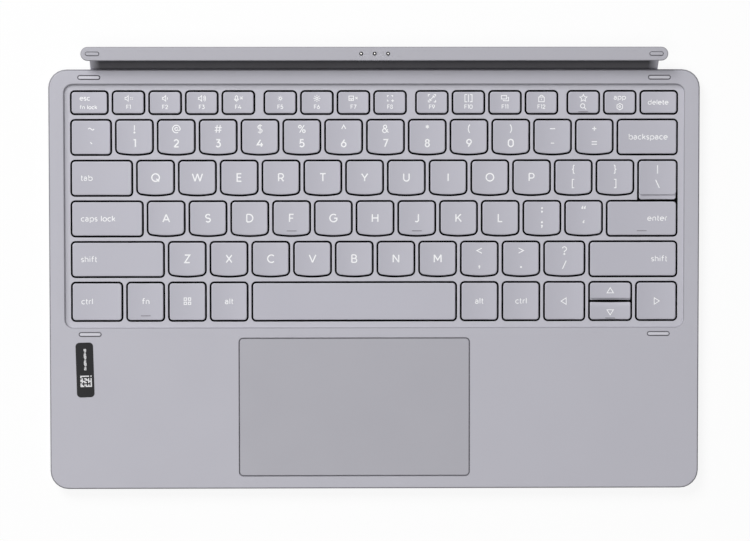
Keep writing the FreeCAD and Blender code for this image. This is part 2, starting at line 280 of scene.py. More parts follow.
slab_low, slab_high = corners("top_case")
slab_sides = (slab_low.x, slab_high.x, slab_low.y, slab_high.y)
slab_top = slab_high.z
parting = corners("bottom_cover")[1].z
grid_low, grid_high = corners("key_grid")
deck_under = grid_high.z
well_sides = (grid_low.x + grid_flange, grid_high.x - grid_flange,
              grid_low.y + grid_flange, grid_high.y - grid_flange)
q_low, q_high = corners("key_q")
cap_bottom = q_low.z
cap_top = q_high.z
cap_width = q_high.x - q_low.x
cap_depth = q_high.y - q_low.y
column_pitch = corners("key_w")[0].x - q_low.x
row_pitch = q_high.y - corners("key_a")[1].y
key_gap = column_pitch - cap_width
row_gap = row_pitch - cap_depth
field_left = corners("key_tab")[0].x
field_right = corners("key_enter")[1].x
arrow_width = corners("key_slash")[1].x - corners("key_slash")[0].x
membrane_top = corners("membrane")[1].z
sheet_top = membrane_top + sheet_thickness
pad_low, pad_high = corners("touchpad_plate")
bar_low, bar_high = corners("bar_housing")
bar_sides = (bar_low.x, bar_high.x, bar_low.y, bar_high.y)
bar_radius = (bar_high.y - bar_low.y) / 2
bar_middle = (bar_high.y + bar_low.y) / 2
locator_top = corners("dock_plate")[1].z
strip_low, strip_high = corners("hinge_strip")


# Outlines and skins

def arc(x, y, radius, start, end, steps=corner_steps):
    """Points along an arc, from one angle to the other in degrees."""
    turns = [math.radians(start + (end - start) * step / steps) for step in range(steps + 1)]
    return [(x + radius * math.cos(turn), y + radius * math.sin(turn)) for turn in turns]


def part_way(start, end, share):
    """Point on a straight run."""
    return (start[0] + (end[0] - start[0]) * share, start[1] + (end[1] - start[1]) * share)


def between(start, end, steps):
    """Points inside a straight run, without its ends."""
    return [part_way(start, end, step / steps) for step in range(1, steps)]


def round_rectangle(sides, radius):
    """Outline that can be drawn smaller by an inset, or larger by a negative one."""
    def outline(inset):
        left, right, front, rear = sides
        bend = radius - inset
        left, right = left + radius, right - radius
        front, rear = front + radius, rear - radius
        points = (arc(right, front, bend, -90, 0) + arc(right, rear, bend, 0, 90)
                  + arc(left, rear, bend, 90, 180) + arc(left, front, bend, 180, 270))
        befores = points[-1:] + points[:-1]
        return [point for point, before in zip(points, befores) if math.dist(point, before) > merge_distance]
    return outline


def pill(x, y, length, width):
    sides = (x - length / 2, x + length / 2, y - width / 2, y + width / 2)
    return round_rectangle(sides, width / 2)


def circle(x, y, radius, steps=round_steps):
    def outline(inset):
        return arc(x, y, radius - inset, 0, 360, steps)[:-1]
    return outline


def round_over(radius, top, steps=edge_steps):
    """Levels (inset, height) of a rounded upper edge, from its wall to its flat."""
    turns = [math.pi / 2 * step / steps for step in range(steps + 1)]
    return [(radius * (1 - math.cos(turn)), top - radius * (1 - math.sin(turn))) for turn in turns]


def round_under(radius, bottom):
    """Levels of a rounded lower edge, from its flat up to its wall."""
    return [(inset, 2 * bottom - height) for inset, height in reversed(round_over(radius, bottom))]


def hole_levels(bottom, lip, top):
    """Levels of a hole's wall with a rounded mouth."""
    return [(0, bottom)] + [(-inset, height) for inset, height in round_over(lip, top)]


def ring(mesh, points, height):
    return [mesh.verts.new((x, y, height)) for x, y in points]


def skin(mesh, low, high, material=0):
    """Quads between two rings of as many points."""
    for index in range(len(low)):
        after = (index + 1) % len(low)
        face = mesh.faces.new((low[index], low[after], high[after], high[index]))
        face.material_index = material


def stack(mesh, outline, levels, material=0):
    """Skin over the outline at each level; returns its first and last ring."""
    rings = [ring(mesh, outline(inset), height) for inset, height in levels]
    for low, high in zip(rings, rings[1:]):
        skin(mesh, low, high, material)
    return rings[0], rings[-1]


def holes_with_painted_shade(mesh, outlines, bottom, lip, top):
    """Holes whose walls under their rounded mouths are painted dark as shade; returns their lower and upper
    rings.
    """
    levels = hole_levels(bottom, lip, top)
    lowers = [stack(mesh, outline, levels[:2], wall_place)[0] for outline in outlines]
    uppers = [stack(mesh, outline, levels[1:])[1] for outline in outlines]
    return lowers, uppers


def lid(mesh, points, material=0):
    mesh.faces.new(points).material_index = material


def fill(mesh, rings):
    """Flat face between an outer ring and the rings of its holes."""
    edges = []
    for points in rings:
        for start, end in zip(points, points[1:] + points[:1]):
            edges.append(mesh.edges.get((start, end)))
    bmesh.ops.triangle_fill(mesh, edges=edges, use_beauty=True, use_dissolve=False, normal=UP)


def solid(mesh, outline, levels, material=0):
    """Closed body from an outline drawn at each level."""
    first, last = stack(mesh, outline, levels, material)
    lid(mesh, list(reversed(first)), material)
    lid(mesh, last, material)


def pocket(mesh, outline, depth, lip, top, material):
    """Blind hole with a rounded mouth; returns its upper ring."""
    floor, mouth = stack(mesh, outline, hole_levels(top - depth, lip, top), material)
    lid(mesh, floor, material)
    return mouth


def add_object(name, data):
    item = bpy.data.objects.new(name, data)
    bpy.context.scene.collection.objects.link(item)
    return item


def finish_piece(name, mesh, materials, body, nodes):
    """Object from a finished mesh, with flat faces kept flat beside round edges."""
    bmesh.ops.remove_doubles(mesh, verts=mesh.verts, dist=merge_distance)
    bmesh.ops.recalc_face_normals(mesh, faces=mesh.faces)
    data = bpy.data.meshes.new(name)
    mesh.to_mesh(data)
    mesh.free()
    data.transform(Matrix.Scale(MM, 4))
    for material in materials:
        data.materials.append(material)
    data.shade_smooth()
    data.set_sharp_from_angle(angle=sharp_angle)
    piece = add_object(name, data)
    weighted = piece.modifiers.new("even_shading", "WEIGHTED_NORMAL")
    weighted.keep_sharp = True
    weighted.weight = normal_weight
    graph = bpy.context.evaluated_depsgraph_get()
    smooth = bpy.data.meshes.new_from_object(piece.evaluated_get(graph))
    piece.modifiers.clear()
    piece.data = smooth
    smooth.name = name
    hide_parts(*nodes)
    if body:
        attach(piece, body)
    return piece


# Materials

def tone(red, green, blue):
    """Linear colour of an sRGB value."""
    shares = [value / 255 for value in (red, green, blue)]
    linear = [s / 12.92 if s <= 0.04045 else ((s + 0.055) / 1.055) ** 2.4 for s in shares]
    return (*linear, 1.0)


def shaded(color, share):
    return (*[value * share for value in color[:3]], 1.0)


def grey(share):
    return (share, share, share, 1)


def feed(tree, value, socket):
    """Give a socket another node's output, or a plain value."""
    if isinstance(value, bpy.types.NodeSocket):
        tree.links.new(value, socket)
    else:
        socket.default_value = value


def add_node(tree, kind, values):
    """New node, with what each of its named or numbered sockets is given."""
    node = tree.nodes.new("ShaderNode" + kind)
    for socket, value in values.items():
        feed(tree, value, node.inputs[socket])
    return node


def calculate(tree, kind, *values):
    node = add_node(tree, "Math", dict(enumerate(values)))
    node.operation = kind
    return node.outputs[0]


class Finish:
    """Procedural material: grain and clouds in its colour, roughness and bump."""

    def __init__(self, name, color, roughness, metallic=0.0, specular=0.5):
        self.material = bpy.data.materials.new(name)
        self.material.use_nodes = True
        self.tree = self.material.node_tree
        self.shader = self.tree.nodes["Principled BSDF"].inputs
        self.shader["Metallic"].default_value = metallic
        self.shader["Specular IOR Level"].default_value = specular
        self.place = self.tree.nodes.new("ShaderNodeTexCoord").outputs
        self.color = color
        self.roughness = roughness
        self.paint = None

    def pattern(self, kind, values):
        """Pattern that is fixed to the piece."""
        return add_node(self.tree, kind, {"Vector": self.place["Object"], **values})

    def noise(self, size, detail=2.0):
        """Cloud pattern whose features are about so many millimetres across."""
        return self.pattern("TexNoise", {"Scale": 1 / (size * MM), "Detail": detail}).outputs["Fac"]

    def spread(self, value, low, high, from_low=noise_low, from_high=noise_high):
        source = {"Value": value, "From Min": from_low, "From Max": from_high}
        node = add_node(self.tree, "MapRange", {**source, "To Min": low, "To Max": high})
        return node.outputs["Result"]

    def mix(self, share, first, second, kind="MIX"):
        """Colour between two colours."""
        node = add_node(self.tree, "Mix", dict(zip(mix_inputs, (share, first, second))))
        node.data_type = "RGBA"
        node.blend_type = kind
        return node.outputs[mix_output]

    def tint(self, tones):
        """Paint times another colour."""
        self.paint = self.mix(1.0, self.paint, tones, "MULTIPLY")

    def along(self, source, direction):
        """Reach of a texture coordinate along a direction."""
        node = add_node(self.tree, "VectorMath", {0: self.place[source], 1: direction})
        node.operation = "DOT_PRODUCT"
        return node.outputs["Value"]

    def clouds(self, size, grain, change, grain_change):
        """Colour that drifts over the surface, with a fine grain in it."""
        wide = self.spread(self.noise(size), 0.0, 1.0)
        fine = self.spread(self.noise(grain), 0.0, 1.0)
        drift = self.mix(wide, shaded(self.color, 1 - change), shaded(self.color, 1 + change))
        self.paint = self.mix(fine, drift, shaded(self.color, 1 - grain_change))

    def edge_line(self, share, low=0.35, high=0.93, facing=UP):
        """Painted light and shade: another tone where the surface turns away from a direction, as it does
        over an upper edge, standing in for the shade or highlight that falls there.
        """
        ramp = add_node(self.tree, "ValToRGB", {"Fac": self.along("Normal", facing)})
        stops = ramp.color_ramp.elements
        for stop, position in zip(stops, (edge_start, edge_end)):
            stop.position = position
            stop.color = grey(1)
        for position in (low, high):
            stops.new(position).color = grey(share)
        self.tint(ramp.outputs["Color"])

    def pale_ends(self, half, reach, color):
        """Painted light: colour that fades to another, paler one towards both ends of a long piece."""
        distance = calculate(self.tree, "ABSOLUTE", self.along("Object", (1, 0, 0)))
        share = self.spread(distance, 0.0, 1.0, (half - reach) * MM, half * MM)
        self.paint = self.mix(share, self.paint, color)

    def dusk(self, low, high, share):
        """Painted shadow: darker tone towards the upper end of a piece, where the bar shades it."""
        rise = self.spread(self.along("Object", UP), 0.0, 1.0, low * MM, high * MM)
        self.tint(self.mix(rise, grey(1), grey(share)))

    def shade_sides(self, left, rear, reach, share):
        """Painted shade: darker tone close to a left and a rear side, where the walls there shade the
        surface.
        """
        from_left = calculate(self.tree, "SUBTRACT", self.along("Object", (1, 0, 0)), left * MM)
        from_rear = calculate(self.tree, "SUBTRACT", rear * MM, self.along("Object", (0, 1, 0)))
        nearest = calculate(self.tree, "MINIMUM", from_left, from_rear)
        rise = self.spread(nearest, 0.0, 1.0, 0.0, reach * MM)
        self.tint(self.mix(rise, grey(share), grey(1)))

    def bump(self, height, depth, strength=0.5):
        sockets = {"Distance": depth * MM, "Strength": strength, "Height": height}
        node = add_node(self.tree, "Bump", sockets)
        feed(self.tree, node.outputs["Normal"], self.shader["Normal"])

    def done(self, rough_size, rough_change=0.06):
        low, high = self.roughness - rough_change, self.roughness + rough_change
        rough = self.spread(self.noise(rough_size), low, high)
        feed(self.tree, rough, self.shader["Roughness"])
        feed(self.tree, self.paint, self.shader["Base Color"])
        return self.material


def moulded(name, color, roughness, edge=1.0, grain=0.35, depth=0.012, specular=0.35, in_well=False):
    """Fine-grained material, with painted shade over its upper edges where the edge share is under 1 and a
    painted highlight where it is over 1, and painted shade beside the well's left and rear walls.
    """
    finish = Finish(name, color, roughness, specular=specular)
    finish.clouds(cloud_size, grain, cloud_change, grain_change)
    # Painted light: the edge share paints shade or a highlight over the rounded upper edges
    if edge != 1:
        finish.edge_line(edge)
    # Painted shade on the web beside the well's left and rear walls
    if in_well:
        finish.shade_sides(well_sides[0], well_sides[3], well_shade_reach, well_shade)
    finish.bump(finish.noise(grain, grain_detail), depth)
    return finish.done(rough_size)


def print_paint(name, color):
    finish = Finish(name, color, roughness=0.55, specular=0.3)
    finish.clouds(size=4.0, grain=0.12, change=0.01, grain_change=0.03)
    finish.bump(finish.noise(size=0.1), depth=0.004)
    return finish.done(rough_size=2.0)


def woven(name, color, end_color):
    """Fabric strip: two crossing sets of fine threads, with a painted shadow darkening it towards the bar
    and painted light paling it at its ends.
    """
    finish = Finish(name, color, roughness=0.85, specular=0.15)
    finish.clouds(size=9.0, grain=0.25, change=0.05, grain_change=0.16)
    finish.dusk(strip_axis_height, bar_low.z, strip_bar_shadow)
    finish.pale_ends(strip_high.x, end_light_reach, end_color)
    threads = []
    for direction in ("X", "Z"):
        bands = finish.pattern("TexWave", {"Scale": thread_rate / MM, "Distortion": thread_wander})
        bands.bands_direction = direction
        threads.append(bands.outputs["Fac"])
    finish.bump(calculate(finish.tree, "MAXIMUM", *threads), depth=0.05, strength=0.8)
    return finish.done(rough_size=3.0)


def metal(name, color, roughness, edge=1.0):
    """Bare metal, with painted shade where it turns away from its painted glint."""
    finish = Finish(name, color, roughness, metallic=1.0)
    finish.clouds(size=3.0, grain=0.15, change=0.03, grain_change=0.06)
    if edge != 1:
        finish.edge_line(edge, low=0.1, high=0.6, facing=pin_painted_glint)
    finish.bump(finish.noise(size=0.2), depth=0.004)
    return finish.done(rough_size=1.0)


def circuit(name, color, track_color):
    """Board with tracks showing through its mask."""
    finish = Finish(name, color, roughness=0.45)
    finish.clouds(size=12.0, grain=0.4, change=0.1, grain_change=0.15)
    bricks = finish.pattern("TexBrick", {"Scale": track_rate / MM, "Mortar Size": track_line})
    tracks = bricks.outputs["Fac"]
    finish.paint = finish.mix(tracks, finish.paint, track_color)
    finish.bump(tracks, depth=0.03)
    return finish.done(rough_size=4.0)


# Edge shares under 1 paint shade along the upper edges, and over 1 paint a highlight there; the darker line
# on the well's lip is painted shade
shell_paint = moulded("shell_paint", tone(189, 188, 197), 0.55, edge=0.45)
rim_paint = moulded("rim_paint", tone(189, 188, 197), 0.55, edge=0.68)
web_paint = moulded("web_paint", tone(196, 195, 204), 0.6, edge=1.04, in_well=True)
cap_paint = moulded("cap_paint", tone(190, 189, 199), 0.55, edge=1.06, grain=0.25, depth=0.008)
# Painted shade: the homing marks' darker tone stands in for the shade beside the raised dashes
mark_paint = moulded("mark_paint", tone(140, 139, 146), 0.55)
touch_glass = moulded("touch_glass", tone(175, 174, 182), 0.4, edge=0.75, grain=0.15, depth=0.003)
bar_paint = moulded("bar_paint", tone(181, 180, 188), 0.5, edge=0.6)
# Painted shade: a dark tone for the walls of grooves, pockets and holes, and for the pins' stems
groove_paint = moulded("groove_paint", tone(110, 109, 116), 0.7, specular=0.15)
bumper_rubber = moulded("bumper_rubber", tone(210, 209, 217), 0.7, edge=0.5, grain=0.2)
legend_paint = print_paint("legend_paint", tone(250, 250, 252))
sticker_film = moulded("sticker_film", tone(33, 33, 35), 0.45, grain=0.5, depth=0.004, specular=0.15)
sticker_print = print_paint("sticker_print", tone(232, 232, 234))
# The strip's colour carries a painted shadow of the bar and painted light at its ends
strip_fabric = woven("strip_fabric", tone(136, 135, 140), tone(214, 213, 221))
# Dark film: the membrane's and domes' own colour, and painted shade on the caps' lower walls and the web's
# hole walls
dark_film = moulded("dark_film", tone(14, 14, 16), 0.6, specular=0.1)
# Pins: a painted glint on the nose and painted shade around it
pin_metal = metal("pin_metal", tone(236, 234, 232), 0.3, edge=0.12)
plate_steel = metal("plate_steel", tone(120, 121, 124), 0.4)
magnet_nickel = metal("magnet_nickel", tone(168, 166, 162), 0.3)
board_mask = circuit("board_mask", tone(24, 64, 48), tone(70, 110, 70))
pad_board_mask = circuit("pad_board_mask", tone(128, 127, 134), tone(140, 139, 146))


# Key layout

def key_at(name, left, right, front, rear, bow=0.0, lip=0.0):
    """Key whose front corners are rounder where its front edge is bowed."""
    return Key(name, left, right, front, rear, bow, lip, bowed_radius if bow else cap_radius)


def framed_key(node, bow=0.0, lip=0.0):
    """Key that has a node of its own."""
    low, high = corners(node)
    return key_at(node, low.x, high.x, low.y, high.y, bow, lip)


def unit_row(names, left, rear, depth, bow=0.0):
    """Keys of one column's width, side by side."""
    lefts = [left + index * column_pitch for index in range(len(names))]
    return [key_at(name, x, x + cap_width, rear - depth, rear, bow) for name, x in zip(names, lefts)]


def number_row():
    rear = q_high.y + row_pitch
    names = list("1234567890") + ["minus", "equal"]
    keys = unit_row(names, q_low.x - column_pitch / 2, rear, cap_depth, letter_bow)
    first, last = keys[0], keys[-1]
    grave = Key("grave", field_left, first.left - key_gap, first.front, first.rear)
    backspace = Key("backspace", last.right + key_gap, field_right, first.front, first.rear)
    return [grave] + keys + [backspace]


def function_row():
    """Escape, the function keys in groups of four, two more keys, and delete."""
    front = q_high.y + row_pitch + row_gap
    rear = front + function_depth
    gaps = (function_count + 1) * key_gap + len(group_starts) * group_gap
    width = (field_right - field_left - 2 * escape_width - gaps) / function_count
    keys = [Key("escape", field_left, field_left + escape_width, front, rear)]
    for index in range(function_count):
        left = keys[-1].right + key_gap + (group_gap if index in group_starts else 0)
        keys.append(Key("f%d" % (index + 1), left, left + width, front, rear))
    return keys + [Key("delete", field_right - escape_width, field_right, front, rear)]


def bottom_row():
    """Keys left of the space bar, and keys right of it."""
    low, high = corners("key_space")
    depth = high.y - low.y
    left_names = ["fn", "apps", "left_alt"]
    lefts = unit_row(left_names, low.x - len(left_names) * column_pitch, high.y, depth)
    rights = unit_row(["right_alt", "right_control"], high.x + key_gap, high.y, depth)
    control = Key("left_control", field_left, lefts[0].left - key_gap, low.y, high.y)
    start = rights[-1].right + key_gap
    middle = start + arrow_width + key_gap
    end = field_right - arrow_width
    half = (depth - stacked_slit) / 2
    arrows = [
        Key("left", start, start + arrow_width, low.y, high.y),
        Key("up", middle, end - key_gap, high.y - half, high.y, 0.0, up_lip, slit_radius),
        Key("down", middle, end - key_gap, low.y, low.y + half, rear_radius=slit_radius),
        Key("right", end, field_right, low.y, high.y),
    ]
    return [control] + lefts, rights + arrows


bowed_names = list("qwertyuiopasdfghjklzxcvbnm")
bowed_names += ["open_bracket", "close_bracket", "semicolon", "quote", "comma", "period", "slash"]
straight_names = ["tab", "caps_lock", "enter", "left_shift", "right_shift", "space"]
moving_keys = [framed_key("key_" + name, letter_bow) for name in bowed_names]
moving_keys += [framed_key("key_" + name) for name in straight_names]
moving_keys += [framed_key("key_backslash", 0.0, backslash_lip)]
upper_keys = function_row() + number_row()
left_modifiers, right_modifiers = bottom_row()
sloped_keys = ("down",)
all_keys = upper_keys + moving_keys + left_modifiers + right_modifiers


# Key caps

def cap_sides(key, inset):
    """Front and rear lines of a cap, left to right, with its corners rounded."""
    half = (key.right - key.left) / 2
    middle = (key.left + key.right) / 2
    reach = half - key.rear_radius
    bend = key.rear_radius - inset
    rear = key.rear - key.rear_radius
    rear_left = arc(middle - reach, rear, bend, 180, 90)
    rear_right = arc(middle + reach, rear, bend, 90, 0)
    rear_line = rear_left + between(rear_left[-1], rear_right[0], span_steps) + rear_right
    reach = half - key.front_radius
    bend = key.front_radius - inset
    if key.bow:
        bow_radius = (half ** 2 + key.bow ** 2) / (2 * key.bow)
        turn_radius = bow_radius - key.front_radius
        center = key.front + bow_radius
        lean = math.degrees(math.asin(reach / turn_radius))
        front = center - math.sqrt(turn_radius ** 2 - reach ** 2)
        span = arc(middle, center, bow_radius - inset, 270 - lean, 270 + lean, span_steps)[1:-1]
    else:
        lean = 0.0
        front = key.front + key.front_radius
        span = between((middle - reach, front - bend), (middle + reach, front - bend), span_steps)
    front_line = arc(middle - reach, front, bend, 180, 270 - lean) + span
    front_line += arc(middle + reach, front, bend, 270 + lean, 360)
    return front_line, rear_line


def opening(key):
    """Outline of the opening round a key."""
    def outline(inset):
        front_line, rear_line = cap_sides(key, inset - key_ring)
        return front_line + rear_line[::-1]
    return outline


def corner_opening(tall, wide):
    """Outline of the opening that a tall key shares with the wide key in front of it."""
    def outline(inset):
        grow = key_ring - inset
        bend = cap_radius + grow
        left, right = wide.left - grow + bend, wide.right + grow - bend
        front, rear = wide.front - grow + bend, tall.rear + grow - bend
        step = tall.left - grow
        shelf = wide.rear + grow
        return (arc(right, front, bend, -90, 0) + arc(right, rear, bend, 0, 90)
                + arc(step + bend, rear, bend, 90, 180) + [(step, shelf)]
                + arc(left, shelf - bend, bend, 90, 180) + arc(left, front, bend, 180, 270))
    return outline


def dish_at(key, x, y):
    """How far a cap's top lies under its rim: its hollow, and the slope at the rear of a sloped key."""
    half = (key.right - key.left) / 2
    share = (x - key.left - half) / half
    hollow = cap_dish * max(0.0, 1 - share ** 2)
    slope = slope_drop * max(0.0, 1 - (key.rear - y) / slope_reach)
    return hollow + slope if key.name in sloped_keys else hollow


def cap_grid(mesh, key, inset, height):
    """Hollowed top of a cap; returns the ring round it."""
    front_line, rear_line = cap_sides(key, inset)
    rows = []
    for step in range(cap_rows + 1):
        points = [part_way(a, b, step / cap_rows) for a, b in zip(front_line, rear_line)]
        rows.append([mesh.verts.new((x, y, height - dish_at(key, x, y))) for x, y in points])
    for low, high in zip(rows, rows[1:]):
        for index in range(len(low) - 1):
            mesh.faces.new((low[index], low[index + 1], high[index + 1], high[index]))
    rights = [row[-1] for row in rows[1:-1]]
    lefts = [row[0] for row in rows[1:-1]]
    return rows[0] + rights + rows[-1][::-1] + lefts[::-1]


def cap_ring(mesh, key, inset, height, dished):
    front_line, rear_line = cap_sides(key, inset)
    rights = between(front_line[-1], rear_line[-1], cap_rows)
    lefts = between(rear_line[0], front_line[0], cap_rows)
    points = front_line + rights + rear_line[::-1] + lefts
    return [mesh.verts.new((x, y, height - (dish_at(key, x, y) if dished else 0))) for x, y in points]


def cap_body(mesh, key, top):
    """Closed cap with a rounded rim, a hollowed top, and its wall down in its opening painted dark as shade.
    """
    shade_line = deck_under - shade_drop
    rings = [cap_ring(mesh, key, 0, height, False) for height in (cap_bottom, shade_line)]
    levels = round_over(cap_edge, top)
    rings += [cap_ring(mesh, key, inset, height, True) for inset, height in levels[:-1]]
    rings.append(cap_grid(mesh, key, *levels[-1]))
    # Painted shade on the cap's wall below the shade line
    skin(mesh, rings[0], rings[1], dark_place)
    for low, high in zip(rings[1:], rings[2:]):
        skin(mesh, low, high)
    lid(mesh, rings[0][::-1], dark_place)


def surface(key):
    """Height of a cap's top over any point."""
    def level(x, y):
        return cap_top - dish_at(key, x, y)
    return level


# Lettering. Glyphs are lines of even width on a grid where a capital is 1 high.

Stroke = namedtuple("Stroke", "points closed")


def line(*points):
    return Stroke(list(points), False)


def loop(*points):
    return Stroke(list(points), True)


def curve(x, y, radius, start, end):
    return arc(x, y, radius, start, end, bow_steps)


def bow(x, y, radius, start, end):
    return line(*curve(x, y, radius, start, end))


def round_loop(x, y, radius, steps=round_steps):
    return loop(*arc(x, y, radius, 0, 360, steps)[:-1])


def box_loop(left, right, front, rear):
    return loop((left, front), (right, front), (right, rear), (left, rear))


def bowl(reach, low, high):
    """Line that leaves a stem to the right and comes back to it."""
    bend = curve(reach, (low + high) / 2, (high - low) / 2, 90, -90)
    return line((0, high), *bend, (0, low))


def dot(x, y):
    return line((x, y - dot_reach), (x, y + dot_reach))


def point(x, y):
    """Round point, drawn as a small closed line."""
    return round_loop(x, y, point_reach, point_steps)


def quote_mark(x):
    return [point(x + 0.06, 0.76), line((x + 0.17, 1.04), (x + 0.03, 0.78))]


def spokes(x, y, inner, outer, start, count):
    """Short lines that point away from a middle."""
    turns = [math.radians(start + 360 * step / count) for step in range(count)]
    return [line((x + inner * math.cos(t), y + inner * math.sin(t)),
                 (x + outer * math.cos(t), y + outer * math.sin(t))) for t in turns]


def placed(strokes, x=0.0, y=0.0, wide=1.0, high=1.0):
    """Strokes that are scaled and then moved."""
    return [Stroke([(x + px * wide, y + py * high) for px, py in stroke.points], stroke.closed)
            for stroke in strokes]


def mirrored(strokes):
    return placed(strokes, wide=-1.0)


def wave(length, middle, rise):
    shares = [step / bow_steps for step in range(bow_steps + 1)]
    return line(*[(length * s, middle + rise * math.sin(math.tau * s)) for s in shares])


stem = line((0, 0), (0, 1))
short_stem = line((0, 0), (0, 0.68))
small_round = round_loop(0.34, 0.34, 0.34)
small_arch = line(*curve(0.27, 0.41, 0.27, 180, 0), (0.54, 0))
curl = line(*curve(0.3, 0.75, 0.25, 30, 270), *curve(0.3, 0.25, 0.25, 65, -150))
brace = [line((0.32, 1.06), (0.2, 1.02), (0.16, 0.92), (0.16, 0.64), (0.12, 0.54), (0, 0.5),
              (0.12, 0.46), (0.16, 0.36), (0.16, 0.08), (0.2, -0.02), (0.32, -0.06))]
bracket = [line((0.26, 1.06), (0, 1.06), (0, -0.06), (0.26, -0.06))]
parenthesis = [bow(0.86, 0.5, 0.86, 140, 220)]
angle = [line((0.66, 0.84), (0, 0.5), (0.66, 0.16))]

